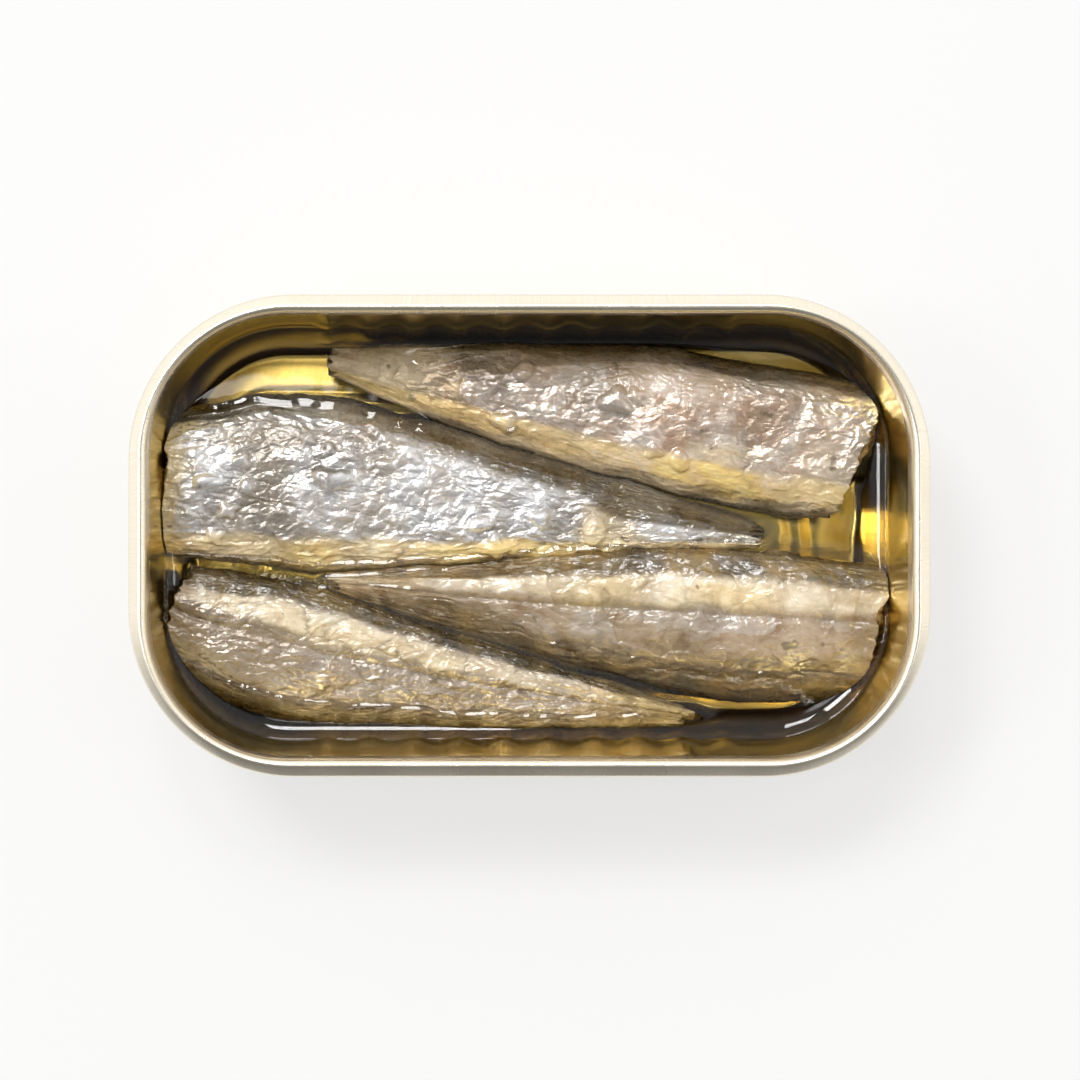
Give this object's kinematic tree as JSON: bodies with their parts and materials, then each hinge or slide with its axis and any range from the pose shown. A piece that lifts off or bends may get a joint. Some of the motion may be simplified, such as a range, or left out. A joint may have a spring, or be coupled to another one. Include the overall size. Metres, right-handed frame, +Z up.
{
  "type": "sardine tin",
  "caption": "Opened oblong sardine tin: drawn metal can with fluted walls and a seamed rim, headless sardines packed nose to tail, and clear golden oil.",
  "frame": {"origin": "middle of the base, at the plane that the tin stands on", "axes": "+X along the tin, towards the cut ends of sardine_1 and sardine_3; +Y across the tin, towards sardine_1; +Z up through the open mouth"},
  "size_m": [0.105, 0.0632, 0.028],
  "materials": {
    "can_metal": "drawn sheet with a clear gold lacquer, bright inside",
    "rim_metal": "folded seam, pale champagne, satin with fine marks across it",
    "oil": "clear golden oil, wet and smooth",
    "fish": "wet silver skin, olive back, cream and ochre belly"
  },
  "bodies": {
    "root": {"tin_body": "can_metal", "rim_ring": "rim_metal", "oil": "oil", "sardine_1": "fish", "sardine_2": "fish", "sardine_3": "fish", "sardine_4": "fish"}
  },
  "joints": []
}
